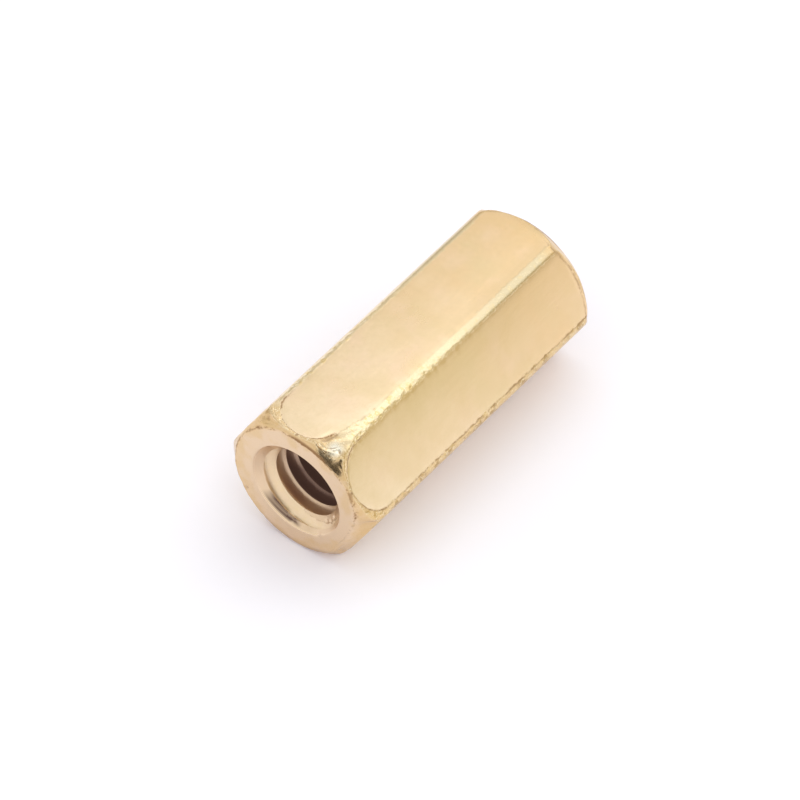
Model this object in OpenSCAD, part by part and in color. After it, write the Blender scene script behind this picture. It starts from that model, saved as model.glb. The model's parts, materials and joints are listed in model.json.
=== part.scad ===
// Board standoff: a length of hexagonal brass bar, tapped right through and countersunk at both ends.
// It lies on one flat, with its thread axis along Y, and the middle of that flat is the origin.

/* [Bar] */
// Width across the flats of the bar
across_flats = 5; // [4.5:0.1:7]
// Length of the standoff, from end face to end face
body_length = 12; // [6:0.5:40]
// Radius of the rounded edge between two flats
edge_radius = 0.42; // [0.1:0.01:0.6]

/* [Ends] */
// How far inside the flats the flat ring of an end face stops
ring_setback = 0.06; // [0.02:0.01:0.4]
// Slope of the turned chamfer that takes off the six corners, in degrees from the thread axis
chamfer_angle = 45; // [20:1:60]

/* [Thread] */
// Nominal diameter of the metric thread
thread_diameter = 3; // [2:0.5:3.5]
// Pitch of the thread
thread_pitch = 0.5; // [0.35:0.05:0.6]
// How far outside the thread the countersink opens, on each side
countersink_margin = 0.2; // [0.05:0.01:0.4]
// Full cone angle of the countersink, in degrees
countersink_angle = 90; // [60:5:120]

/* [Hidden] */
brass = [0.93, 0.8, 0.55];
// Segments asked for on a round surface
round_fn = 96;
// How far a cutting tool runs past the surface that it cuts
overrun = 1;
flat_distance = across_flats / 2;
half_length = body_length / 2;
// Distances from the thread axis to the centre of an edge's rounding, and to its outside
edge_centre = (flat_distance - edge_radius) / cos(30);
edge_reach = edge_centre + edge_radius;
// Outer radius of the flat ring at each end
ring_radius = flat_distance - ring_setback;
chamfer_depth = (edge_reach + overrun - ring_radius) / tan(chamfer_angle);
// The hole is drilled to the crests of the thread
bore_radius = (thread_diameter - thread_pitch) / 2;
countersink_radius = thread_diameter / 2 + countersink_margin;
countersink_depth = (countersink_radius - bore_radius) / tan(countersink_angle / 2);

// Section of the drawn bar: a hexagon standing on a flat, with each edge rounded
module bar_section() {
    // the flats stop where the roundings begin, which leaves a shape of twelve corners
    polygon([for (edge = [0:5], side = [-30, 30])
        edge_centre * [cos(60 * edge), sin(60 * edge)]
        + edge_radius * [cos(60 * edge + side), sin(60 * edge + side)]]);
    for (edge = [0:5])
        rotate(60 * edge) translate([edge_centre, 0]) circle(r = edge_radius, $fn = round_fn);
}

// What the lathe leaves: a flat ring at each end, and a cone that takes off the corners
module turned_envelope() {
    rotate_extrude($fn = round_fn)
        polygon([[0, -half_length],
                 [ring_radius, -half_length],
                 [edge_reach + overrun, chamfer_depth - half_length],
                 [edge_reach + overrun, half_length - chamfer_depth],
                 [ring_radius, half_length],
                 [0, half_length]]);
}

// The hole and its two countersinks, as one turned cutter
module bore_cutter() {
    mouth_radius = countersink_radius + overrun * tan(countersink_angle / 2);
    rotate_extrude($fn = round_fn)
        polygon([[0, -half_length - overrun],
                 [mouth_radius, -half_length - overrun],
                 [bore_radius, countersink_depth - half_length],
                 [bore_radius, half_length - countersink_depth],
                 [mouth_radius, half_length + overrun],
                 [0, half_length + overrun]]);
}

module standoff() {
    color(brass)
        translate([0, 0, flat_distance])
            rotate([90, 0, 0])
                difference() {
                    intersection() {
                        translate([0, 0, -half_length])
                            linear_extrude(height = body_length) bar_section();
                        turned_envelope();
                    }
                    bore_cutter();
                }
}

standoff();
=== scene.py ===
# %% [markdown] # A brass hex standoff A standoff is a short piece of hexagonal brass bar with a
# thread right through it. It holds one circuit board above another. The construction model already
# fixes its size and its place, so this lesson is about looks: the drawn bar, its turned ends, the
# tapped thread, and pale, worn brass. Its box is kept now, because the finished piece has to fill
# it.

# %% Load the frame
import json
import math
from types import SimpleNamespace

import bpy
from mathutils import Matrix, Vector


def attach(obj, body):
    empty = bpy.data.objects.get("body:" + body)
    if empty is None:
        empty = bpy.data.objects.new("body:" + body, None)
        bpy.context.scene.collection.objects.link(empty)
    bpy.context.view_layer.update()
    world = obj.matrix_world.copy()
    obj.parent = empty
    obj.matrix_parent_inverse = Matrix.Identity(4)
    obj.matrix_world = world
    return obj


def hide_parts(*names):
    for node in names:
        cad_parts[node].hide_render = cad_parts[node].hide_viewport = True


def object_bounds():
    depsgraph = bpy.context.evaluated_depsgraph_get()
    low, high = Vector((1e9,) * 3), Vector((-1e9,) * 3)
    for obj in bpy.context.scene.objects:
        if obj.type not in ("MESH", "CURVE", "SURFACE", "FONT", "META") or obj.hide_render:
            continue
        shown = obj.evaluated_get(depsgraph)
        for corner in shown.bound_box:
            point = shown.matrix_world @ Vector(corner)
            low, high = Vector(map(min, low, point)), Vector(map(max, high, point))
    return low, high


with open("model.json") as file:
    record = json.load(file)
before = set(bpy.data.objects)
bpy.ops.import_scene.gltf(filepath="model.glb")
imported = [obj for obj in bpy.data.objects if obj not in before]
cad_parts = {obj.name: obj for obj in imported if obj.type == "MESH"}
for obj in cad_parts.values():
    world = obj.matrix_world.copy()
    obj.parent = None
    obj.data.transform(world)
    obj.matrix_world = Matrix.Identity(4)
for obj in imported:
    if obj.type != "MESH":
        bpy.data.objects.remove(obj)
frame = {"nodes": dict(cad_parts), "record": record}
cad_box = [list(corner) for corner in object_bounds()]
print("construction box in mm:", [[round(1000 * value, 2) for value in corner] for corner in cad_box])

# %% [markdown]
# ## Sizes
# The box gives the bar's width across its flats and its length. The drilled bore is one of the
# record's mounts. The turned ring at each end is measured on the construction model itself: the
# points that lie in the end plane are on its inner and its outer edge.
#
# Everything is in millimetres here, because such a small part reads badly in metres. The last node
# of the shape turns the finished piece into metres.

# %% Measure the frame
MM = 0.001
low = Vector(cad_box[0]) / MM
high = Vector(cad_box[1]) / MM
across_flats = high.z - low.z
body_length = high.y - low.y
axis_height = (high.z + low.z) / 2
mounts = {mount["name"]: mount for mount in frame["record"]["mounts"]}
bore_radius = mounts["thread_front"]["dims"]["r_mm"]


def distance_from_axis(point):
    """How far a point of the frame, in metres, is from the thread's axis, in millimetres."""
    return math.hypot(point.x / MM, point.z / MM - axis_height)


front_points = [v.co for v in frame["nodes"]["standoff"].data.vertices if v.co.y / MM < low.y + 0.001]
countersink_radius = min(distance_from_axis(point) for point in front_points)
ring_radius = max(distance_from_axis(point) for point in front_points)
print("across flats", round(across_flats, 3), "length", round(body_length, 3), "bore radius", bore_radius)
print("ring from", round(countersink_radius, 3), "to", round(ring_radius, 3))

# %% [markdown]
# ## Writing node trees as formulas
# Both the shape and the brass are node trees. Clicking a hundred maths nodes together is slow, and
# reading them back is slower. One small class solves it: a Wire holds a socket, and `+`, `-`, `*`,
# `/` and `**` on it add the matching Math node. `1 - mask` works as well, because the reflected
# forms are there. Every other node comes from one method, `node()`, which takes the node's type, its
# settings, and what goes into its sockets. The same two classes serve geometry and shaders.

# %% The graph
class Graph:
    """A node tree that is being written."""

    def __init__(self, tree):
        self.tree = tree

    def node(self, kind, settings=None, sockets=None):
        """Adds a node, makes its settings, fills its sockets, and gives back its first output."""
        made = self.tree.nodes.new(kind)
        for name, value in (settings or {}).items():
            setattr(made, name, value)
        for name, value in (sockets or {}).items():
            self.fill(self.socket_of(made.inputs, name), value)
        outputs = [socket for socket in made.outputs if socket.enabled]
        return Wire(self, outputs[0]) if outputs else made

    @staticmethod
    def socket_of(sockets, name):
        """A socket by its place, or the first one of that name which the node's settings leave on."""
        if isinstance(name, int):
            return sockets[name]
        return next(socket for socket in sockets if socket.enabled and socket.name == name)

    def fill(self, socket, value):
        """Links a wire to a socket, or sets the socket's own value."""
        if isinstance(value, Wire):
            self.tree.links.new(value.socket, socket)
        else:
            socket.default_value = value

    def math(self, operation, *values):
        return self.node("ShaderNodeMath", {"operation": operation}, dict(enumerate(values)))

    def vector(self, operation, *values):
        return self.node("ShaderNodeVectorMath", {"operation": operation}, dict(enumerate(values)))

    def distance(self, a, b):
        return self.vector("DISTANCE", a, b).other("Value")

    def combine(self, x, y, z):
        return self.node("ShaderNodeCombineXYZ", None, {"X": x, "Y": y, "Z": z})

    def size_of(self, value):
        return self.math("ABSOLUTE", value)

    def smaller(self, a, b, blend=None):
        """The smaller of two values, with a soft changeover when a blend width is given."""
        return self.math("MINIMUM", a, b) if blend is None else self.math("SMOOTH_MIN", a, b, blend)

    def larger(self, a, b):
        return self.math("MAXIMUM", a, b)

    def ramp(self, value, start, end, low=0.0, high=1.0, smooth=False):
        """low before start, high after end, and a straight or a smooth slope between them."""
        settings = {"interpolation_type": "SMOOTHSTEP" if smooth else "LINEAR"}
        ends = {"Value": value, "From Min": start, "From Max": end, "To Min": low, "To Max": high}
        return self.node("ShaderNodeMapRange", settings, ends)

    def line(self, value, width, smooth=False):
        """1 where the value is 0, fading to 0 a width away on both sides."""
        return self.ramp(self.size_of(value), 0.0, width, 1.0, 0.0, smooth)

    def noise(self, place, scale, detail, seed):
        """Soft random blobs from 0 to 1, about 1 / scale apart. The seed picks one pattern of many."""
        return self.node("ShaderNodeTexNoise", {"noise_dimensions": "4D"}, {
            "Vector": place, "W": seed, "Scale": scale, "Detail": detail})

    def attribute(self, name):
        """A number that the geometry tree stored on the mesh."""
        return self.node("ShaderNodeAttribute", {"attribute_name": name}).other("Fac")

    def mix(self, share, a, b):
        """Colour a, changing to colour b as share goes from 0 to 1."""
        return self.node("ShaderNodeMix", {"data_type": "RGBA"}, {"Factor": share, "A": a, "B": b})


print("node helpers:", [name for name in vars(Graph) if not name.startswith("_")])


# %% The wire
class Wire:
    """One output socket. Arithmetic on it adds Math nodes to its graph."""

    def __init__(self, graph, socket):
        self.graph = graph
        self.socket = socket

    def other(self, name):
        """Another output of the same node."""
        return Wire(self.graph, Graph.socket_of(self.socket.node.outputs, name))

    def xyz(self):
        parts = self.graph.node("ShaderNodeSeparateXYZ", None, {0: self})
        return parts, parts.other("Y"), parts.other("Z")

    def __add__(self, value):
        return self.graph.math("ADD", self, value)

    def __sub__(self, value):
        return self.graph.math("SUBTRACT", self, value)

    def __rsub__(self, value):
        return self.graph.math("SUBTRACT", value, self)

    def __mul__(self, value):
        return self.graph.math("MULTIPLY", self, value)

    def __truediv__(self, value):
        return self.graph.math("DIVIDE", self, value)

    def __rtruediv__(self, value):
        return self.graph.math("DIVIDE", value, self)

    def __pow__(self, value):
        return self.graph.math("POWER", self, value)

    def __neg__(self):
        return self.graph.math("MULTIPLY", self, -1.0)

    __radd__ = __add__
    __rmul__ = __mul__


print("operators on a wire:", [name for name in vars(Wire) if name.startswith("__")][1:])

# %% [markdown]
# ## Starting and ending a geometry tree
# Each tree gets a named number input for each of its sizes. A maker can then open the tree later,
# turn one size, and see the part change. The tree's own defaults are sensible sizes in millimetres.

# %% Tree helpers
def geometry_graph(name, **sizes):
    """A new geometry tree with a named number input for each size, and the wires of those inputs."""
    tree = bpy.data.node_groups.new(name, "GeometryNodeTree")
    tree.interface.new_socket("Geometry", in_out="OUTPUT", socket_type="NodeSocketGeometry")
    for label, value in sizes.items():
        spoken = label.replace("_", " ")
        socket = tree.interface.new_socket(spoken, in_out="INPUT", socket_type="NodeSocketFloat")
        socket.default_value = value
    graph = Graph(tree)
    entry = tree.nodes.new("NodeGroupInput")
    return graph, SimpleNamespace(**{
        label: Wire(graph, socket) for label, socket in zip(sizes, entry.outputs)})


def finish_tree(graph, geometry):
    """Links the tree's result to its output."""
    leave = graph.tree.nodes.new("NodeGroupOutput")
    graph.fill(leave.inputs[0], geometry)
    inputs = sum(item.in_out == "INPUT" for item in graph.tree.interface.items_tree)
    print(graph.tree.name, "tree:", len(graph.tree.nodes), "nodes,", inputs, "sizes")
    return graph.tree


def grid_places(graph, columns, rows):
    """A flat grid with that many cells, and each point's place across it and along it from 0 to 1."""
    grid = graph.node("GeometryNodeMeshGrid", None, {
        "Size X": 1.0, "Size Y": 1.0, "Vertices X": columns + 1, "Vertices Y": rows + 1})
    across, along, _ = graph.node("GeometryNodeInputPosition").xyz()
    return grid, across + 0.5, along + 0.5


def wrapped(graph, grid, place, labels):
    """The grid, with its numbers stored on it, moved to its places and sewn into a closed skin."""
    for name, value in labels.items():
        grid = graph.node("GeometryNodeStoreNamedAttribute", {"data_type": "FLOAT", "domain": "POINT"}, {
            "Geometry": grid, "Name": name, "Value": value})
    shaped = graph.node("GeometryNodeSetPosition", None, {"Geometry": grid, "Position": place})
    sewn = graph.node("GeometryNodeMergeByDistance", None, {"Geometry": shaped, "Distance": 0.0005})
    return graph.node("GeometryNodeFlipFaces", None, {"Mesh": sewn})


tree_helpers = (geometry_graph, finish_tree, grid_places, wrapped)
print("tree helpers:", [helper.__name__ for helper in tree_helpers])

# %% [markdown]
# ## The bar's plan
# The real part is drawn hexagonal bar, so its six long edges are rounded, and each end is faced and
# chamfered in a lathe. The flats and the chamfer cone meet in the soft U-shaped borders that every
# such part has. It could be a subdivided cylinder with its points pushed about by hand, but the
# borders would never be right. The shape follows two rules, so Geometry Nodes make it from a plain
# grid: a column of the grid is a place round the hexagon, and a row is a step along a turned
# profile. That profile runs out of the countersink, over the flat ring, round its edge, up the
# chamfer and along the body. Each point lies at the hexagon's radius or the profile's, whichever is
# smaller, and a narrow smooth minimum between the two rounds the border as tumbling does.

# %% Columns and rows
EDGE_COLUMNS = 16
FLAT_COLUMNS = 14
SIXTH = EDGE_COLUMNS + FLAT_COLUMNS
FLOOR_ROWS = 1
COUNTERSINK_ROWS = 14
RIM_ROWS = 6
RING_ROWS = 10
RING_EDGE_ROWS = 6
CHAMFER_ROWS = 26
BODY_ROWS = 120
HALF_ROWS = (FLOOR_ROWS + COUNTERSINK_ROWS + RIM_ROWS + RING_ROWS
             + RING_EDGE_ROWS + CHAMFER_ROWS + BODY_ROWS)
HALF_EDGE_TURN = math.radians(30)
print("bar grid:", 6 * SIXTH, "columns,", 2 * HALF_ROWS, "rows")

# %% [markdown]
# ## Round the hexagon
# A column is either on a flat or in a rounded edge. On a flat it goes straight from side to side; in
# an edge it turns by sixty degrees on a small circle. More columns than the size asks for go into
# the edges, because that is where the light changes.
#
# The flats of drawn bar are a hair crowned, and that is what makes their reflections stretch from
# light to dark instead of lying still. The fillet starts at the crown's own slope, so that no line
# shows between them.

# %% The hexagon
def hexagon_turn(graph, around):
    """Which way a place round the bar, from 0 to 1, faces: its flat's direction, its place along that
    flat from -1 to 1, and its share of the turn into an edge, from -1 to 1 and 0 on the flat."""
    sixth = graph.math("FLOOR", graph.smaller(around * 6.0, 5.9999))
    column = (around * 6.0 - sixth) * SIXTH - EDGE_COLUMNS / 2
    along_flat = graph.ramp(column, 0.0, FLAT_COLUMNS, -1.0, 1.0)
    next_edge = graph.ramp(column, FLAT_COLUMNS, FLAT_COLUMNS + EDGE_COLUMNS / 2)
    last_edge = graph.ramp(column, -EDGE_COLUMNS / 2, 0.0, -1.0, 0.0)
    facing = sixth * math.radians(60) + math.radians(30)
    return SimpleNamespace(facing=facing, along_flat=along_flat, edge_share=next_edge + last_edge)


def hexagon_outline(graph, turn, flat_distance, edge_radius, corner_radius, crown):
    """The rounded hexagon's x and z, how far into an edge the place is, and 1 at an edge's middle."""
    corner_share = graph.size_of(turn.edge_share)
    which_edge = graph.math("SIGN", turn.edge_share)
    plain_half_width = (flat_distance - edge_radius) * math.tan(HALF_EDGE_TURN)
    tilt = crown * 2.0 / graph.larger(plain_half_width, 0.01)
    turned = tilt + corner_share * (HALF_EDGE_TURN - tilt)
    tilt_side = graph.math("SINE", tilt) * edge_radius
    centre_out = flat_distance - graph.math("COSINE", tilt) * edge_radius
    half_width = centre_out * math.tan(HALF_EDGE_TURN) + tilt_side
    plain_corner = centre_out / math.cos(HALF_EDGE_TURN) + edge_radius
    reach = edge_radius + corner_share ** 1.5 * (corner_radius - plain_corner)
    side = turn.along_flat * half_width + which_edge * (graph.math("SINE", turned) * reach - tilt_side)
    bulge = crown * (1 - turn.along_flat * turn.along_flat)
    out = centre_out + graph.math("COSINE", turned) * reach + bulge
    sine = graph.math("SINE", turn.facing)
    cosine = graph.math("COSINE", turn.facing)
    on_flat = graph.size_of(turn.along_flat) - 1.0
    into_edge = on_flat * half_width + corner_share * edge_radius * HALF_EDGE_TURN
    return SimpleNamespace(
        x=out * cosine - side * sine, z=out * sine + side * cosine,
        into_edge=into_edge, corner_share=corner_share)


print("across sharp corners it would be", round(across_flats / math.cos(HALF_EDGE_TURN), 3), "mm")

# %% [markdown]
# ## Along the turned profile
# A lathe makes the ends, so one profile of radius against depth describes them. It is a chain of
# straight stretches with two small arcs between them: the rim of the countersink and the outer edge
# of the ring. A stretch adds its length over its own rows and nothing elsewhere, so the profile is a
# sum of ramps.

# %% The profile
def running_total(graph, row, *stretches):
    """A distance that grows by a set amount over each stretch of rows, each given as (rows, amount)."""
    total = None
    start = 0
    for rows, amount in stretches:
        step = graph.ramp(row, start, start + rows, 0.0, amount)
        total = step if total is None else total + step
        start += rows
    return total


def turned_profile(graph, size, row, ring_radius, cone):
    """The radius of the turned surface at a row, and how deep under the end plane it is. cone is the
    slope of the chamfer under that plane."""
    rim = size.rim_rounding
    edge = size.ring_edge_rounding
    half_turn = math.tan(math.radians(22.5))
    diagonal = math.sin(math.radians(45))
    depth = size.countersink_radius - size.floor_radius
    rim_start = size.countersink_radius - rim * (half_turn * diagonal)
    ring_start = size.countersink_radius + rim * half_turn
    ring_end = ring_radius - edge * graph.math("TANGENT", cone / 2)
    rim_first = FLOOR_ROWS + COUNTERSINK_ROWS
    edge_first = rim_first + RIM_ROWS + RING_ROWS
    rim_turn = graph.ramp(row, rim_first, rim_first + RIM_ROWS, math.radians(45), 0.0)
    edge_turn = graph.ramp(row, edge_first, edge_first + RING_EDGE_ROWS, 0.0, cone)

    reach = size.across_flats * 0.62
    chamfer_depth = (reach - ring_radius) * graph.math("TANGENT", cone)
    outward = running_total(
        graph, row, (FLOOR_ROWS, size.floor_radius), (COUNTERSINK_ROWS, rim_start - size.floor_radius),
        (RIM_ROWS, 0.0), (RING_ROWS, ring_end - ring_start), (RING_EDGE_ROWS, 0.0),
        (CHAMFER_ROWS, reach - ring_end - edge * graph.math("SINE", cone)))
    radius = (outward + (diagonal - graph.math("SINE", rim_turn)) * rim
              + graph.math("SINE", edge_turn) * edge)
    edge_drop = edge * (1 - graph.math("COSINE", cone))
    inward = running_total(
        graph, row, (FLOOR_ROWS, 0.0), (COUNTERSINK_ROWS, rim * (half_turn * diagonal) - depth),
        (RIM_ROWS, 0.0), (RING_ROWS, 0.0), (RING_EDGE_ROWS, 0.0),
        (CHAMFER_ROWS, chamfer_depth - edge_drop), (BODY_ROWS, size.length / 2 - chamfer_depth))
    from_face = (depth + inward - (graph.math("COSINE", rim_turn) - diagonal) * rim
                 + (1 - graph.math("COSINE", edge_turn)) * edge)
    return radius, from_face


print("rows that the lathe turned, at each end:", HALF_ROWS - BODY_ROWS)

# %% [markdown]
# ## Wear
# New brass standoffs are tumbled together and then poured into bags, so no edge stays perfect. The
# wear that shows is shape, not paint: the long edges are chattered by hundreds of tiny blows, the
# turned rings are not quite flat, and there is a faint groove where a fillet begins. Noise in the
# node tree gives a depth for all of these, and each kind gets a mask, so that the middle of a flat
# stays as smooth as drawing left it.

# %% Worn surface
COARSE_DENTS = 2.6
FINE_DENTS = 6.0


def smooth_side_of_top(graph, x, y, z):
    """1 on the side of the top flat where the worn edge fades softly into it."""
    return graph.ramp(z, 2.3, 2.4) * graph.ramp(x, 0.5, 0.8) * graph.ramp(y, -5.3, -5.0)


def dents(graph, place, into_edge, off_border, seed):
    """How deep the worn surface lies under the smooth one: 1 is the tree's wear size."""
    x, y, z = place.xyz()
    coarse = graph.noise(place, COARSE_DENTS, 1.0, seed)
    fine = graph.noise(place, FINE_DENTS, 1.0, seed + 1.0)
    on_edge = graph.ramp(into_edge + (coarse - 0.5) * 0.15, -0.03, 0.08, smooth=True)
    turned = graph.ramp(off_border, 0.03, -0.05, smooth=True)
    outside = graph.ramp(off_border, -0.5, -0.4)
    right_edge = graph.ramp(x, 2.3, 2.6) * graph.ramp(graph.size_of(z), 0.3, 0.7, 0.7, 0.0)
    toward_front = graph.larger(graph.ramp(y, -1.5, 3.0, 1.0, 0.12, smooth=True), right_edge)
    chatter = on_edge * toward_front * ((fine - 0.35) * 7.5 + (coarse - 0.4) * 2.5)
    rough = turned * (coarse * 2.0 + fine)
    groove = graph.line(into_edge + (coarse - 0.5) * 0.10, 0.05, smooth=True)
    groove_end = graph.ramp(y, -4.3, -3.3, 1.0, 0.0) * (1 - smooth_side_of_top(graph, x, y, z))
    groove = groove * fine * 0.9 * graph.larger(groove_end, right_edge)
    return (chatter + rough + groove) * outside


print("dents about", round(1 / COARSE_DENTS, 2), "and", round(1 / FINE_DENTS, 2), "mm apart")

# %% [markdown]
# ## Single knocks
# Harder blows leave single marks, and a part that has been used has a few round the end where the
# screw goes in. Each knock is a soft pit round one point of the surface. A list says where they
# are, because a maker who wants another one only has to add a line. The last six lie in the mouth
# of the hole, and what stands up between them looks like the burrs that a tap leaves.

# %% Knocks
# Angle round the axis in degrees, radius, distance from the end face, size and depth in millimetres.
KNOCKS = (
    (72.0, 2.63, 0.42, 0.13, 0.025), (71.0, 2.64, 0.55, 0.13, 0.030), (70.0, 2.66, 0.68, 0.13, 0.030),
    (69.0, 2.68, 0.82, 0.12, 0.025), (63.0, 2.60, 0.42, 0.10, 0.030), (59.0, 2.62, 0.50, 0.09, 0.030),
    (256.0, 1.60, 0.15, 0.13, 0.060), (264.0, 1.66, 0.10, 0.12, 0.060), (299.0, 1.72, 0.04, 0.15, 0.060),
    (9.0, 2.41, 0.03, 0.12, 0.035), (17.0, 2.39, 0.02, 0.10, 0.030), (1.0, 2.42, 0.03, 0.10, 0.030),
    (152.0, 2.33, 0.00, 0.08, 0.020), (141.0, 1.98, 0.00, 0.09, 0.012), (126.0, 2.44, 0.05, 0.14, 0.030),
    (118.0, 2.62, 0.30, 0.16, 0.025), (36.0, 2.55, 0.10, 0.12, 0.020), (210.0, 2.30, 0.00, 0.15, 0.015),
    (314.0, 1.44, 0.30, 0.10, 0.050), (324.0, 1.48, 0.26, 0.09, 0.040), (334.0, 1.44, 0.30, 0.09, 0.050),
    (250.0, 1.44, 0.30, 0.10, 0.050), (268.0, 1.46, 0.28, 0.09, 0.040), (284.0, 1.58, 0.16, 0.12, 0.035))


def knocks(graph, place, front_y):
    """The depth of the single knocks, in millimetres."""
    total = 0.0
    for angle, radius, from_face, width, deep in KNOCKS:
        turn = math.radians(angle)
        centre = graph.combine(radius * math.cos(turn), front_y + from_face, radius * math.sin(turn))
        apart = graph.distance(place, centre)
        total = graph.ramp(apart, width * 0.35, width, deep, 0.0, smooth=True) + total
    return total


print(len(KNOCKS), "knocks")

# %% [markdown]
# ## A corner that was hit
# One corner of the front end took a real blow. The ring is narrower there, the chamfer is flatter
# along the top, and the corner is pressed back into a second, steeper cone. Another blow has
# narrowed the ring low on the right, and the lowest corner, on which the part was dropped, is
# rounder than its neighbours. All of these are shares that fade with the angle from a middle, so one
# helper makes them. The back end only gets the steeper cone, by a small amount on all six corners,
# because tumbling rounds those evenly.

# %% Knocked corner
# Angles round the axis in degrees, from +X toward the top.
KNOCKED_ANGLE = 72
NARROWED_ANGLE = 336
LOWEST_ANGLE = 303


def share_near(graph, angle, middle, wide, narrow):
    """1 within narrow degrees of the middle angle, 0 beyond wide degrees from it, smooth between."""
    closeness = graph.math("COSINE", angle - math.radians(middle))
    return graph.ramp(closeness, math.cos(math.radians(wide)), math.cos(math.radians(narrow)), smooth=True)


def steeper_cone(graph, flat_distance, outline, hex_radius, from_face, at_front):
    """The radius of the second cone that presses the corners back."""
    sixty = math.radians(60)
    past_corner = (outline.z * math.cos(sixty) - outline.x * math.sin(sixty)) / hex_radius
    beside = (graph.ramp(past_corner, -math.sin(math.radians(2)), -math.sin(math.radians(12)))
              + graph.ramp(past_corner, math.sin(math.radians(10)), math.sin(math.radians(18)))
              + graph.ramp(outline.z, 1.0, 0.9))
    pressed = at_front * (beside * 0.5 - 0.15)
    return flat_distance + from_face * math.tan(math.radians(25)) + 0.08 + pressed


print("blows at", KNOCKED_ANGLE, NARROWED_ANGLE, "and", LOWEST_ANGLE, "degrees round the axis")

# %% [markdown]
# ## The bar's tree
# Now the pieces come together. The fillet between two flats grows wider toward an end until the
# flats have shrunk to nothing, and that is what bends the U-shaped borders. Where a flat has no
# width, its columns all lie in one place, so nothing there may depend on the column: only on the
# angle. The numbers that the brass will need later, such as the distance into an edge, are stored
# on the mesh as attributes.

# %% The bar
def bar_tree():
    """Geometry nodes for the solid bar: rounded hexagon, faced ends, chamfers and countersinks."""
    graph, size = geometry_graph(
        "bar", across_flats=5.0, length=12.0, edge_radius=0.42, countersink_radius=1.74, floor_radius=1.15,
        ring_radius=2.44, rim_rounding=0.08, ring_edge_rounding=0.12, chamfer_angle=45.0, border_blend=0.08,
        flat_start=0.15, front_flat_full=1.15, back_flat_full=0.4, swell=0.03, crown=0.025,
        knocked_corner=0.5, bite=0.25, wear=0.008, seed=3.0)
    grid, around, along = grid_places(graph, 6 * SIXTH, 2 * HALF_ROWS)
    row = along * (2 * HALF_ROWS)
    from_end = HALF_ROWS - graph.size_of(row - HALF_ROWS)
    end = graph.math("SIGN", row - HALF_ROWS)
    at_front = graph.larger(-end, 0.0)
    turn = hexagon_turn(graph, around)

    end_angle = turn.facing + turn.edge_share * HALF_EDGE_TURN
    bitten = share_near(graph, end_angle, KNOCKED_ANGLE + 1, 33, 8) * 0.3
    bitten = bitten + share_near(graph, end_angle, NARROWED_ANGLE, 36, 8) * 1.1
    front_ring_radius = size.ring_radius - bitten * at_front * size.bite
    flatter = share_near(graph, end_angle, 87, 26, 12) * at_front
    cone = math.radians(90) - size.chamfer_angle * math.radians(1) - flatter * math.radians(20)
    radius, from_face = turned_profile(graph, size, from_end, front_ring_radius, cone)

    flat_distance = size.across_flats / 2
    flat_full = size.back_flat_full + at_front * (size.front_flat_full - size.back_flat_full)
    before_full = graph.ramp(from_face, size.flat_start, flat_full, 1.0, 0.1)
    width_share = (1 - before_full ** 2.0) ** 0.5
    body_angle = turn.facing + turn.along_flat * math.radians(26.6) + turn.edge_share * math.radians(3.4)
    knocked = share_near(graph, body_angle, KNOCKED_ANGLE, 16, 8) * at_front
    knocked = knocked * graph.ramp(from_face, 0.9, 2.3, size.knocked_corner, 0.0, smooth=True)
    edge_radius = flat_distance - (flat_distance - size.edge_radius - knocked) * width_share
    corner = (flat_distance - size.edge_radius) / math.cos(HALF_EDGE_TURN) + size.edge_radius
    corner = corner + size.swell * at_front * graph.ramp(from_face, 0.6, 1.8, 1.0, 0.0, smooth=True)
    crown = size.crown * width_share ** 2.0
    outline = hexagon_outline(graph, turn, flat_distance, edge_radius, corner, crown)

    hex_radius = graph.vector("LENGTH", graph.combine(outline.x, 0.0, outline.z)).other("Value")
    pressed_back = steeper_cone(graph, flat_distance, outline, hex_radius, from_face, at_front)
    side_radius = graph.smaller(hex_radius, pressed_back, 0.08)
    lowest_corner = share_near(graph, end_angle, LOWEST_ANGLE, 26, 6) * at_front
    blend = size.border_blend * (1 + outline.corner_share * (3.0 - at_front + lowest_corner * 4.0))
    smooth_radius = graph.smaller(side_radius, radius, blend)
    off_border = radius - side_radius

    y = end * (size.length / 2 - from_face)
    scale = smooth_radius / hex_radius
    smooth_place = graph.combine(outline.x * scale, y, outline.z * scale)
    dent = dents(graph, smooth_place, outline.into_edge, off_border, size.seed) * size.wear
    knock = knocks(graph, smooth_place, -size.length / 2)
    worn = (smooth_radius - dent - knock * graph.ramp(off_border, -0.5, -0.4)) / hex_radius
    past_rim = graph.ramp(radius, size.countersink_radius, size.countersink_radius + 0.1)
    sunk = past_rim * graph.ramp(from_face, 0.2, 0.5, 1.0, 0.0) * size.wear
    sunk = sunk * graph.noise(smooth_place, 3.0, 2.0, size.seed + 2.0)
    worn_y = end * (size.length / 2 - from_face - sunk - knock)
    worn_z = graph.larger(graph.smaller(outline.z * worn, flat_distance + 0.03), -flat_distance)
    place = graph.combine(outline.x * worn, worn_y, worn_z)
    labels = {"into_edge": outline.into_edge, "off_border": off_border, "knock": knock,
              "off_ring": radius - front_ring_radius}
    return finish_tree(graph, wrapped(graph, grid, place, labels))


bar = bar_tree()

# %% [markdown]
# ## The tap
# The thread is what a tap leaves behind, so the node tree makes the tap and the bar is cut with it.
# A thread's surface runs round the axis and climbs by one pitch a turn. The grid is sheared to
# match: its rows are helices, so each crest and each root lies exactly on a row and stays crisp. A
# right-hand thread climbs against the direction in which the columns go round. Past its two ends
# the surface winds in to the axis, which closes it.

# %% The tap's tree
TAP_COLUMNS = 72
TAP_ROWS = 12


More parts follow.
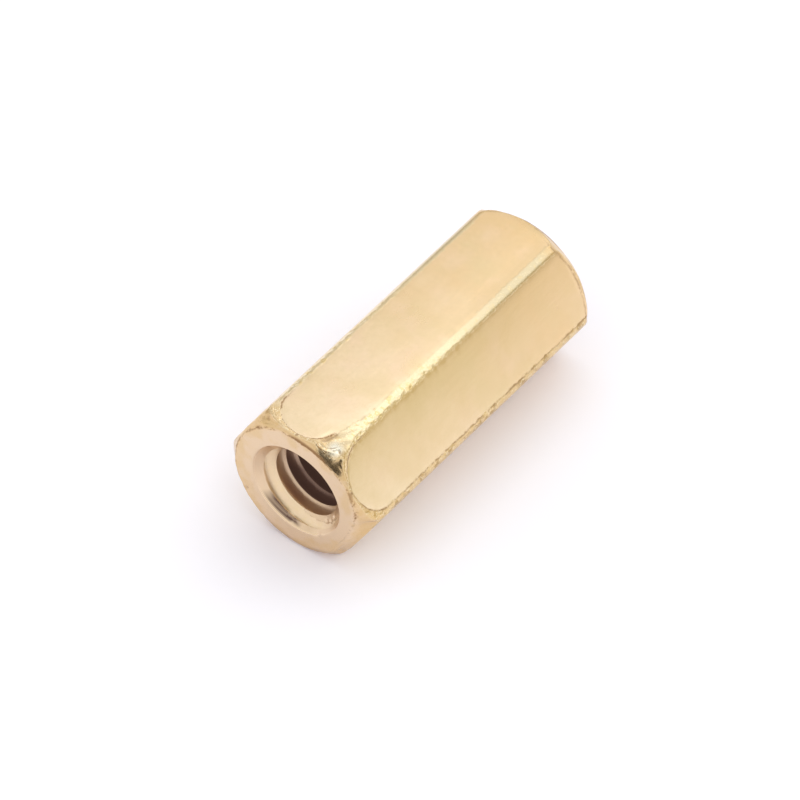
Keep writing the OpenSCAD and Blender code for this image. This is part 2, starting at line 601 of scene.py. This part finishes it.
def tap_tree():
    """Geometry nodes for the solid that a tap and its drill take away."""
    graph, size = geometry_graph(
        "tap", crest_radius=1.25, root_radius=1.5, pitch=0.5, length=14.0, root_flat=0.04, start=0.0)
    turns = graph.math("CEIL", size.length / size.pitch) + 5.0
    grid, around, along = grid_places(graph, TAP_COLUMNS, turns * TAP_ROWS)
    turn = along * turns
    climb = (turn - around - (turns - 1.0) / 2) * size.pitch
    half = size.length / 2
    past_end = graph.size_of(climb) - half
    closing = graph.ramp(past_end / size.pitch, 0.0, 1.0, 1.0, 0.0)

    depth = size.root_radius - size.crest_radius
    from_groove = graph.size_of(graph.math("FRACT", turn) - 0.5) * size.pitch
    half_root = size.root_flat / 2
    half_mouth = half_root + depth * math.tan(math.radians(30))
    cut = graph.ramp(from_groove, half_mouth, half_root, 0.0, depth)
    radius = (size.crest_radius + cut) * closing
    angle = (around + size.start) * math.tau
    y = graph.larger(graph.smaller(climb, half), -half)
    place = graph.combine(graph.math("COSINE", angle) * radius, y, graph.math("SINE", angle) * radius)
    return finish_tree(graph, wrapped(graph, grid, place, {"tapped": 1.0}))


tap = tap_tree()

# %% [markdown]
# ## One piece of brass
# The last tree cuts the bar with the tap, keeps the edges that the tap leaves sharp, brings
# millimetres to metres, and lifts the axis to its height above the table. The cut could be a Boolean
# modifier, but inside the tree it stays with the sizes that it depends on. Realize Instances and Set
# Material come last, because the export drops instances and wants a finish.
#
# A modifier runs the tree. Its inputs are set by their identifiers before the object is evaluated.
# The result is copied to a plain mesh, and the object that held the modifier goes.

# %% The standoff's tree
CREASE_DEGREES = 42


def standoff_tree(finish):
    """Geometry nodes for the whole part: the bar, cut with the tap, in metres and in its place."""
    graph, size = geometry_graph(
        "standoff", across_flats=5.0, length=12.0, edge_radius=0.42, countersink_radius=1.7,
        bore_radius=1.25, ring_radius=2.44, thread_start=0.0, axis_height=2.5)
    blank = graph.node("GeometryNodeGroup", {"node_tree": bar}, {
        "across flats": size.across_flats, "length": size.length, "edge radius": size.edge_radius,
        "countersink radius": size.countersink_radius, "floor radius": size.bore_radius - 0.1,
        "ring radius": size.ring_radius})
    cutter = graph.node("GeometryNodeGroup", {"node_tree": tap}, {
        "crest radius": size.bore_radius, "root radius": size.bore_radius + 0.37,
        "length": size.length + 2.0, "start": size.thread_start})
    cut = graph.node("GeometryNodeMeshBoolean", {"operation": "DIFFERENCE", "solver": "MANIFOLD"}, {
        "Mesh 1": blank, "Mesh 2": cutter})
    smooth = graph.node("GeometryNodeSetShadeSmooth", {"domain": "FACE"}, {"Geometry": cut})
    bend = graph.node("GeometryNodeInputMeshEdgeAngle")
    crisp = graph.node("FunctionNodeCompare", {"data_type": "FLOAT", "operation": "GREATER_THAN"}, {
        "A": bend, "B": math.radians(CREASE_DEGREES)})
    creased = graph.node("GeometryNodeSetShadeSmooth", {"domain": "EDGE"}, {
        "Geometry": smooth, "Selection": crisp, "Shade Smooth": False})
    lift = graph.combine(0.0, 0.0, size.axis_height * MM)
    placed = graph.node("GeometryNodeTransform", None, {
        "Geometry": creased, "Translation": lift, "Scale": (MM, MM, MM)})
    single = graph.node("GeometryNodeRealizeInstances", None, {"Geometry": placed})
    finished = graph.node("GeometryNodeSetMaterial", None, {"Geometry": single, "Material": finish})
    return finish_tree(graph, finished)


def run_tree(name, tree, sizes):
    """Runs a geometry tree with these sizes and gives back its result as an object with a plain mesh."""
    holder = bpy.data.objects.new(name + "_holder", bpy.data.meshes.new(name + "_holder"))
    bpy.context.scene.collection.objects.link(holder)
    modifier = holder.modifiers.new("nodes", "NODES")
    modifier.node_group = tree
    for socket in tree.interface.items_tree:
        if socket.in_out == "INPUT" and socket.name in sizes:
            modifier[socket.identifier] = float(sizes[socket.name])
    evaluated = holder.evaluated_get(bpy.context.evaluated_depsgraph_get())
    mesh = bpy.data.meshes.new_from_object(evaluated)
    mesh.name = name
    bpy.data.objects.remove(holder)
    made = bpy.data.objects.new(name, mesh)
    bpy.context.scene.collection.objects.link(made)
    triangles = sum(len(polygon.vertices) - 2 for polygon in mesh.polygons)
    print(name, "mesh:", len(mesh.vertices), "points,", triangles, "triangles")
    return made


print("edges that bend by more than", CREASE_DEGREES, "degrees stay crisp")

# %% [markdown]
# ## Brass: where a point is
# The whole part is one metal, so it needs one material, but no two places on it look alike. The
# material first works out where a point is, in millimetres from the thread's axis: how far out, how
# deep under the nearer end, how far into a worn edge. The last came with the mesh as attributes.
#
# Then it makes its noises, each at the size of something real: soft stains, grain as fine as cast
# dust, the long scratches of drawing, and the fine circles of turning. The next cells each add one
# thing to the same node tree.

# %% Places and noises
def color(red, green, blue):
    return (red, green, blue, 1.0)


def material_graph(name):
    """A new material's graph, emptied, and its output node."""
    material = bpy.data.materials.new(name)
    material.use_nodes = True
    material.node_tree.nodes.clear()
    leave = material.node_tree.nodes.new("ShaderNodeOutputMaterial")
    return material, Graph(material.node_tree), leave


def places_on_brass(graph):
    """Where a shaded point is, and the noises there."""
    in_metres = graph.node("ShaderNodeTexCoord").other("Object")
    place = graph.vector("MULTIPLY", in_metres, (1 / MM, 1 / MM, 1 / MM))
    place = graph.vector("SUBTRACT", place, (0.0, 0.0, axis_height))
    x, y, z = place.xyz()
    radius = graph.vector("LENGTH", graph.combine(x, 0.0, z)).other("Value")
    depth = body_length / 2 - graph.size_of(y)
    at = SimpleNamespace(place=place, x=x, y=y, z=z, radius=radius, depth=depth)
    for name in ("into_edge", "off_border", "off_ring", "knock", "tapped"):
        setattr(at, name, graph.attribute(name))
    at.mottle = graph.noise(place, 0.9, 3.0, 5.0)
    at.grain = graph.noise(place, 14.0, 2.0, 6.0)
    at.speck = graph.noise(place, 6.5, 3.0, 7.0)
    at.blotch = graph.noise(place, 2.2, 3.0, 9.0)
    at.lines = graph.noise(graph.vector("MULTIPLY", place, (1.0, 0.06, 1.0)), 9.0, 2.0, 8.0)
    round_axis = graph.combine(radius * 16.0 + x * 0.5, depth * 16.0, z * 0.5)
    at.circles = graph.noise(round_axis, 1.0, 2.0, 10.0)
    at.right_edge = graph.ramp(x, 2.2, 2.5) * graph.ramp(graph.size_of(z), 0.5, 0.9, 1.0, 0.0)
    at.toward_front = graph.larger(graph.ramp(y, 0.5, -3.0, 0.30, 1.0), at.right_edge)
    at.drawn_side = graph.ramp(at.off_border, -0.02, 0.04)
    at.turned = 1 - at.drawn_side
    at.sunk_cone = graph.ramp(radius, 1.72, 1.68) * (1 - at.tapped) * graph.ramp(depth, 0.5, 0.45)
    return at


def report(step):
    print(step + ":", len(brass_graph.tree.nodes), "nodes so far")


brass, brass_graph, brass_output = material_graph("brass")
on_brass = places_on_brass(brass_graph)
report("places and noises")

# %% [markdown]
# ## Brass: the flats
# Brass darkens unevenly where it was handled, so the drawn flats drift in clouds from a pale, slightly pink
# gold to a deeper one, with olive and pink clouds no stronger than on a used coin. On top of that, painted
# light makes the flats paler toward the front end and deeper gold toward the back. The flat on the right is
# a deeper gold with painted shade, most on its upper side and toward the front, and lighter with painted
# light at its back end. A band of the top flat beside the rubbed edge is darkened with painted shade too.
# All these shares are low: a stain that can be pointed at is already too much.

# %% Colour of the flats
def flats_color(graph, at):
    pale = color(0.948, 0.798, 0.575)
    gold = color(0.810, 0.575, 0.305)
    # Painted light: the flats are paler toward the front end and deeper gold toward the back. The mottle
    # mixed in is the brass's own tone.
    painted_light_gradient = graph.ramp(at.y, -6.0, 5.0)
    shade = graph.mix(graph.ramp(painted_light_gradient * 0.75 + at.mottle * 0.5, 0.1, 1.1), pale, gold)
    olive = graph.ramp(graph.noise(at.place, 0.7, 3.0, 11.0), 0.46, 0.66)
    shade = graph.mix(olive * 0.45, shade, color(0.76, 0.61, 0.34))
    pink = graph.ramp(graph.noise(at.place, 0.9, 3.0, 12.0), 0.50, 0.70)
    shade = graph.mix(pink * 0.40, shade, color(0.93, 0.70, 0.52))
    shade = graph.mix(at.lines * 0.12, shade, color(0.76, 0.54, 0.30))
    shade = graph.mix(graph.ramp(at.speck, 0.40, 0.70) * 0.16, shade, color(0.74, 0.55, 0.30))
    right_flat = graph.ramp(at.x, 1.38, 1.48) * graph.ramp(at.z, 0.2, 2.0, 0.4, 1.0)
    # Painted shade on the right flat, strongest high up and toward the front end.
    painted_shade_right_flat = right_flat * graph.ramp(at.y, 0.5, 4.5, 1.0, 0.2)
    shade = graph.mix(painted_shade_right_flat * 0.45, shade, color(0.80, 0.62, 0.31))
    # Painted light: the back end of the right flat is lighter.
    shade = graph.mix(right_flat * graph.ramp(at.y, 2.5, 4.5) * 0.6, shade, color(0.92, 0.68, 0.40))
    # Painted shade on a band of the top flat beside the ridge, toward the back, which narrows the ridge's
    # highlight.
    top_right = graph.ramp(at.z, 2.1, 2.3) * graph.ramp(at.x, 0.0, 0.4)
    painted_shade_beside_ridge = top_right * graph.ramp(at.into_edge, -0.5, -0.05) * graph.ramp(at.y, -0.5, 2.0)
    return graph.mix(painted_shade_beside_ridge * 0.5, shade, color(0.68, 0.51, 0.29))


shade = flats_color(brass_graph, on_brass)
report("flats")

# %% [markdown]
# ## Brass: the turned ends
# Freshly turned brass is a little redder and duller than drawn brass, and it tarnishes in patches.
# The chamfer is deeper gold still. The rim underneath, toward the table, is browner with painted shade.

# %% Colour of the turned ends
def turned_color(graph, at, shade):
    shade = graph.mix(at.turned, shade, color(0.79, 0.60, 0.405))
    golden = graph.ramp(at.blotch + (at.radius - 2.2) * 0.35, 0.44, 0.60) * at.turned
    golden = golden * graph.ramp(at.radius, 1.72, 1.85)
    shade = graph.mix(golden * 0.7, shade, color(0.74, 0.53, 0.28))
    chamfer = at.turned * graph.ramp(at.radius + (at.speck - 0.5) * 0.25, 2.34, 2.44)
    shade = graph.mix(chamfer * graph.ramp(at.speck, 0.3, 0.7, 0.9, 0.3), shade, color(0.70, 0.48, 0.23))
    # Painted shade: the rim underneath, low toward the table, is browner.
    rim = graph.ramp(at.radius, 2.25, 2.42) * graph.ramp(at.depth, 0.25, 0.05)
    painted_shade_underneath = rim * graph.ramp(-at.z, 1.7, 2.2) * graph.ramp(at.blotch, 0.35, 0.6, 0.9, 0.5)
    return graph.mix(painted_shade_underneath, shade, color(0.44, 0.29, 0.19))


shade = turned_color(brass_graph, on_brass, shade)
report("turned ends")

# %% [markdown]
# ## Brass: the worn edges
# A rubbed edge is cleaner than the flats beside it, so it is paler at the front, and toward the back it is
# darkened with painted shade that dims its highlight. It has small golden specks in the pits between the
# blows, and bright grains of painted sparkle on top of them. The edge that has lain on benches is golden
# brown and spotted. The corner that was hit gets a painted highlight, a pale spot.

# %% Colour of the edges
def edge_color(graph, at, shade):
    in_edge = graph.ramp(at.into_edge + (at.speck - 0.5) * 0.2, -0.03, 0.05) * at.drawn_side
    worn_end = in_edge * graph.ramp(at.depth + at.blotch * 0.8, 1.7, 0.9)
    shade = graph.mix(worn_end * graph.ramp(at.grain, 0.3, 0.6, 0.9, 0.4), shade, color(0.70, 0.49, 0.23))
    rubbed = in_edge * (1 - worn_end)
    # The rubbed edge is pale clean metal at the front, and painted shade darkens it toward the back.
    clean_edge_and_shade = graph.mix(graph.ramp(at.y, 0.0, 3.0), color(0.90, 0.78, 0.52), color(0.64, 0.59, 0.41))
    shade = graph.mix(rubbed * 0.6, shade, clean_edge_and_shade)
    # Painted highlight: a pale, nearly white spot on the knocked corner.
    painted_glint_distance = graph.distance(at.place, (1.23, -5.52, 2.31))
    shade = graph.mix(graph.ramp(painted_glint_distance, 0.30, 0.12) * in_edge, shade, color(1.0, 0.94, 0.76))
    pits = rubbed * graph.ramp(at.speck, 0.52, 0.64) * at.toward_front
    shade = graph.mix(pits * 0.8, shade, color(0.84, 0.63, 0.28))
    shade = graph.mix(in_edge * at.right_edge * 0.8, shade, color(0.74, 0.53, 0.25))
    brown = graph.ramp(at.blotch * 0.6 + at.speck * 0.4, 0.50, 0.58)
    shade = graph.mix(in_edge * at.right_edge * brown * 0.75, shade, color(0.42, 0.27, 0.11))
    # Painted sparkle: bright grains on the front of the worn edges.
    painted_sparkle = in_edge * graph.ramp(at.grain, 0.54, 0.66) * at.toward_front
    at.in_edge = in_edge
    return graph.mix(painted_sparkle * 0.6, shade, color(1.0, 0.88, 0.60))


shade = edge_color(brass_graph, on_brass, shade)
report("worn edges")

# %% [markdown]
# ## Brass: dirt and a painted reflection
# Brown dirt collects where a cloth doesn't reach: along the borders of the flats at the near end, round the
# edge of the ring, and in the knocks. Noise breaks each line up, except along the top of the ring, where
# the dirt lies in a hollow. A painted dark reflection, broken by the streaks of the tool, lies low in the
# countersink.

# %% Dirt and a painted reflection
def dirt_on_brass(graph, at):
    """How dirty a place is, from 0 to 1."""
    soft_side = smooth_side_of_top(graph, at.x, at.y, at.z)
    near_end = graph.ramp(at.y, -4.9, -4.2, 1.0, 0.0) * (1 - soft_side)
    edge_line = graph.line(at.into_edge + (at.speck - 0.5) * 0.16, 0.055) * at.drawn_side
    edge_line = edge_line * graph.larger(near_end, at.right_edge * 0.8)
    ring_width = graph.ramp(at.x, 1.9, 2.2, 0.04, 0.09)
    ring_line = graph.line(at.off_ring + (at.speck - 0.5) * 0.15, ring_width)
    ring_line = ring_line * graph.ramp(at.z, -1.5, 0.5, 0.1, 0.9)
    back_line = graph.line(at.off_border - 0.14 + (at.speck - 0.5) * 0.1, 0.06)
    back_line = back_line * graph.ramp(at.y, 5.0, 5.2) * graph.ramp(at.x, 0.9, 1.3) * 0.6
    top_line = graph.line(at.off_ring - 0.03, 0.075)
    top_line = top_line * graph.ramp(at.z, 1.95, 2.2) * graph.ramp(at.x, -0.3, 0.1)
    broken = graph.ramp(at.blotch * 0.5 + at.grain * 0.5, 0.42, 0.52)
    dirt = (edge_line + ring_line + back_line) * broken + graph.smaller(top_line * 1.4, 1.0)
    dirt = dirt + graph.ramp(at.knock, 0.004, 0.02) * at.grain
    return dirt * graph.ramp(at.off_border, -0.6, -0.5) * (1 - at.tapped)


# Painted reflection: a dark patch low in the countersink, streaked by the tool's circles.
def painted_reflection_in_countersink(graph, at, shade):
    streaks = graph.ramp(at.circles, 0.42, 0.56) * 0.4 + 0.6
    low_left = graph.ramp(-at.z, 0.9, 1.2) * graph.ramp(at.x, 0.15, -0.15)
    band = graph.ramp(at.radius, 1.44, 1.48) * graph.ramp(at.radius, 1.70, 1.65)
    return graph.mix(at.sunk_cone * low_left * band * streaks, shade, color(0.13, 0.075, 0.06))


dirt = dirt_on_brass(brass_graph, on_brass)
shade = brass_graph.mix(dirt, shade, color(0.36, 0.21, 0.10))
shade = painted_reflection_in_countersink(brass_graph, on_brass, shade)
report("dirt")

# %% [markdown]
# ## Brass: the thread
# The thread is a narrow, deep hole, so its brass is darkened with painted shade the deeper it lies, and
# painted shade blackens it most deep down and low at the bottom. Light gets lost in such a hole sooner in a
# renderer than in life, because the renderer stops after a few bounces. A glow of a few hundredths,
# strongest in the first turn, gives back what it left out.

# %% The thread's brass
# Painted shade: the thread is darker the deeper it lies, and darkest deep down at the bottom.
def painted_thread_shade(graph, at, shade):
    shade = graph.mix(at.tapped * graph.ramp(at.depth, 0.5, 1.3) * 0.85, shade, color(0.37, 0.25, 0.18))
    painted_deep_shade = at.tapped * graph.ramp(at.depth, 1.1, 1.3) * graph.ramp(-at.z, 0.4, 0.9)
    return graph.mix(painted_deep_shade * 0.85, shade, color(0.10, 0.06, 0.05))


def thread_glow(graph, at):
    first_turn = graph.ramp(at.depth, 1.1, 0.95) * graph.ramp(graph.size_of(at.x + 0.75), 0.25, 0.65)
    glow = graph.mix(first_turn, color(0.036, 0.020, 0.015), color(0.068, 0.043, 0.027))
    return graph.mix(at.tapped * graph.ramp(at.depth, 0.3, 0.9), color(0, 0, 0), glow)


shade = painted_thread_shade(brass_graph, on_brass, shade)
glow = thread_glow(brass_graph, on_brass)
report("thread")

# %% [markdown]
# ## Brass: the metal
# One Principled shader takes it all in. Metallic is 1 everywhere, so the colour is the colour of the
# reflections. Drawn flats are a little rough, turned ends smoother, dirt duller. A bump of a few
# thousandths of a millimetre adds what the mesh is too coarse for: scratches, turning circles and
# the grain of the worn edges.

# %% The material
turning = on_brass.circles * on_brass.turned
rough = 0.22 + on_brass.mottle * 0.08 - on_brass.turned * 0.10 + dirt * 0.25 + turning * 0.08
rough = rough + on_brass.sunk_cone * 0.16 + on_brass.tapped * 0.09
height = on_brass.lines * 0.0006 + on_brass.mottle * 0.004 + turning * 0.002
height = height + on_brass.grain * (0.0004 + on_brass.turned * 0.0012 + on_brass.in_edge * 0.0035)
height = height + on_brass.speck * on_brass.in_edge * on_brass.toward_front * 0.008
bump = brass_graph.node("ShaderNodeBump", None, {"Distance": MM, "Height": height, "Strength": 1.0})
metal = brass_graph.node("ShaderNodeBsdfPrincipled", None, {
    "Base Color": shade, "Metallic": 1.0, "Roughness": rough, "Normal": bump,
    "Emission Color": glow, "Emission Strength": 1.0})
brass_graph.fill(brass_output.inputs["Surface"], metal)
# The glow is too faint to light anything, so the renderer needn't treat the thread as a lamp.
brass.cycles.emission_sampling = "NONE"
report("the whole brass")

# %% [markdown] ## Making the standoff The sizes measured at the start go in by name. The long edges
# are rounded a little less than in the construction model, because the wear takes the rest.

# %% The standoff
THREAD_START = 0.728
LEAST_WORN_EDGE = 0.34
COUNTERSINK_WEAR = 0.04
standoff = run_tree("brass_standoff", standoff_tree(brass), {
    "across flats": across_flats, "length": body_length, "edge radius": LEAST_WORN_EDGE,
    "countersink radius": countersink_radius + COUNTERSINK_WEAR, "bore radius": bore_radius,
    "ring radius": ring_radius, "thread start": THREAD_START, "axis height": axis_height})
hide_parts("standoff")
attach(standoff, "root")

# %% [markdown]
# ## The camera
# Small parts look best from well back through a long lens, which keeps their edges parallel. The
# camera looks down on the front end from its right. It is placed by two angles and a distance from
# the part's middle, and aimed a fraction of a millimetre beside it to centre the part in the frame.
# The near clipping distance comes down, because the camera is only a hand's length or so away.

# %% The camera
CAMERA_TURN = math.radians(37.6)
CAMERA_RISE = math.radians(46.7)
CAMERA_DISTANCE = 0.23826
CAMERA_LENS = 337.5
AIM_LEFT = 0.387
AIM_DOWN = 0.608
centre = (Vector(cad_box[0]) + Vector(cad_box[1])) / 2
back = Vector((
    math.sin(CAMERA_TURN) * math.cos(CAMERA_RISE), -math.cos(CAMERA_TURN) * math.cos(CAMERA_RISE),
    math.sin(CAMERA_RISE)))
right = Vector((math.cos(CAMERA_TURN), math.sin(CAMERA_TURN), 0.0))
up = back.cross(right)
aim = centre - right * (AIM_LEFT * MM) - up * (AIM_DOWN * MM)
camera_data = bpy.data.cameras.new("camera")
camera_data.lens = CAMERA_LENS
camera_data.clip_start = 0.01
camera = bpy.data.objects.new("camera", camera_data)
camera.location = aim + back * CAMERA_DISTANCE
camera.rotation_euler = back.to_track_quat("Z", "Y").to_euler()
bpy.context.scene.collection.objects.link(camera)
bpy.context.scene.camera = camera
print("camera at", [round(value, 4) for value in camera.location], "lens", CAMERA_LENS, "mm")

# %% [markdown]
# ## Floor and world
# The part lies on white card under a white sky of strength 1. The card alone would turn its shadow a
# strong gold, since the brass lights it, so a faint blue glow that only the camera and reflections
# see cools the shadow. The floor's other light still comes from its colour, so it keeps the shadow.

# %% Floor and world
def seen_rays(graph):
    """1 for a ray from the camera, or one that a mirror-like or clear surface sends on, else 0."""
    rays = graph.node("ShaderNodeLightPath")
    return rays + rays.other("Is Glossy Ray") + rays.other("Is Transmission Ray")


def floor_material():
    material, graph, leave = material_graph("floor")
    card_white = graph.node("ShaderNodeBsdfDiffuse", None, {"Color": color(0.99, 0.98, 0.985)})
    tint = graph.mix(seen_rays(graph), color(0, 0, 0), color(0.015, 0.015, 0.06))
    glow = graph.node("ShaderNodeEmission", None, {"Color": tint, "Strength": 1.0})
    both = graph.node("ShaderNodeAddShader", None, {0: card_white, 1: glow})
    graph.fill(leave.inputs["Surface"], both)
    return material


REACH = 0.6
floor_mesh = bpy.data.meshes.new("floor")
floor_corners = [(-REACH, -REACH, 0), (REACH, -REACH, 0), (REACH, REACH, 0), (-REACH, REACH, 0)]
floor_mesh.from_pydata(floor_corners, [], [(0, 1, 2, 3)])
floor_mesh.materials.append(floor_material())
floor = bpy.data.objects.new("floor", floor_mesh)
bpy.context.scene.collection.objects.link(floor)

world = bpy.data.worlds.new("studio")
world.use_nodes = True
world.node_tree.nodes["Background"].inputs["Color"].default_value = color(1, 1, 1)
world.node_tree.nodes["Background"].inputs["Strength"].default_value = 1.0
bpy.context.scene.world = world
print("floor", 2 * REACH, "m square, world strength 1")

# %% [markdown]
# ## The softbox
# One large soft lamp stands high behind the part. It is only a third brighter than the sky, so the
# light stays even, but it gives the shadow its direction and the top of the long edge its highlight.

# %% Softbox
def direction(azimuth, elevation):
    """A unit vector to a place in the studio: azimuth from +Y round to +X, elevation above the table."""
    turn, rise = math.radians(azimuth), math.radians(elevation)
    return Vector((math.sin(turn) * math.cos(rise), math.cos(turn) * math.cos(rise), math.sin(rise)))


def softbox(name, toward, distance, side, extra):
    """A square lamp that faces the part. extra is how much brighter it is than the white behind it."""
    light = bpy.data.lights.new(name, "AREA")
    light.shape = "SQUARE"
    light.size = side
    light.energy = extra * math.pi * side * side
    lamp = bpy.data.objects.new(name, light)
    lamp.location = centre + toward * distance
    lamp.rotation_euler = toward.to_track_quat("Z", "Y").to_euler()
    bpy.context.scene.collection.objects.link(lamp)
    print(name, "energy", round(light.energy, 4), "W")


softbox("overhead softbox", toward=direction(19, 55), distance=0.30, side=0.38, extra=0.35)

# %% [markdown]
# ## Reflector cards
# Polished metal shows the room, and an all-white room makes it look like plastic. In a studio, dark
# and tinted cards stand round a metal part. The cards here do the same: a round dark one is the lens
# that looks back at itself, and low tinted ones on both sides deepen the long edges. The knocked
# corner needs a black glint. A large dark card far in front would give it, but it would blacken the
# whole top flat when the part is seen from behind. So that card is tiny and stands five millimetres
# from the corner. All of them are for reflections only. The camera, the shadows and the soft light
# of the room don't see them.

# %% Cards
def card_material(name, tint, strength):
    material, graph, leave = material_graph(name)
    glow = graph.node("ShaderNodeEmission", None, {"Color": tint, "Strength": strength})
    graph.fill(leave.inputs["Surface"], glow)
    return material


def add_card(name, corners, faces, material):
    """A flat or bent card that only reflections see."""
    mesh = bpy.data.meshes.new(name)
    mesh.from_pydata(corners, [], faces)
    mesh.materials.append(material)
    made = bpy.data.objects.new(name, mesh)
    bpy.context.scene.collection.objects.link(made)
    made.visible_camera = False
    made.visible_diffuse = False
    made.visible_shadow = False


def round_card(name, toward, distance, radius, material):
    turn = toward.to_track_quat("Z", "Y")
    steps = 32
    rim = []
    for step in range(steps):
        angle = math.tau * step / steps
        spoke = turn @ Vector((math.cos(angle), math.sin(angle), 0))
        rim.append(centre + toward * distance + spoke * radius)
    add_card(name, rim, [tuple(range(steps))], material)


def wall(name, azimuths, elevations, distance, material, around=centre):
    """A band that stands round a point from the first azimuth and elevation to the second."""
    first, last = azimuths
    steps = 24
    corners = []
    for step in range(steps + 1):
        azimuth = first + (last - first) * step / steps
        for elevation in elevations:
            corners.append(around + direction(azimuth, elevation) * distance)
    faces = [(2 * step, 2 * step + 2, 2 * step + 3, 2 * step + 1) for step in range(steps)]
    add_card(name, corners, faces, material)


dark = card_material("dark card", color(0.80, 0.72, 0.66), 0.09)
round_card("dark_lens_surround", back, 0.10, 0.010, dark)
knocked_corner = centre + Vector((1.2, -5.9, 2.1)) * MM
wall("dark_front", (142, 173), (12, 52), 0.005, dark, knocked_corner)
warm = card_material("right wall", color(1, 0.87, 0.58), 0.66)
cream = card_material("left wall", color(1, 0.93, 0.82), 0.65)
wall("right_wall", (20, 110), (4, 22), 0.25, warm)
wall("left_wall", (-112, -30), (4, 24), 0.25, cream)


# %% [markdown]
# ## The high wall on the left
# The top flat reflects the sky behind it, and it should darken gently toward its left side. A card
# with one brightness would show its edge as a line down the flat. So the high wall on the left is a
# row of narrow cards, each a little brighter than the last, up to the white of the sky.

# %% High left wall
HIGH_WALL_STEPS = 8
HIGH_WALL_DARKEST = 0.84
STEP_DEGREES = 4


def high_wall(name, azimuths, strength):
    finish = card_material(name.replace("_", " "), color(1, 0.97, 0.93), strength)
    wall(name, azimuths, (24, 60), 0.26, finish)


high_wall("high_left_wall", (-140, -70), HIGH_WALL_DARKEST)
for step in range(HIGH_WALL_STEPS):
    first = -70 + STEP_DEGREES * step
    strength = HIGH_WALL_DARKEST + (1 - HIGH_WALL_DARKEST) * (step + 0.5) / HIGH_WALL_STEPS
    high_wall("high_left_wall_" + str(step), (first, first + STEP_DEGREES), strength)

# Nothing may grow out of the box by more than three hundredths of its side, or sink under the table.

# %% Finish
bpy.context.scene.view_settings.view_transform = "Standard"
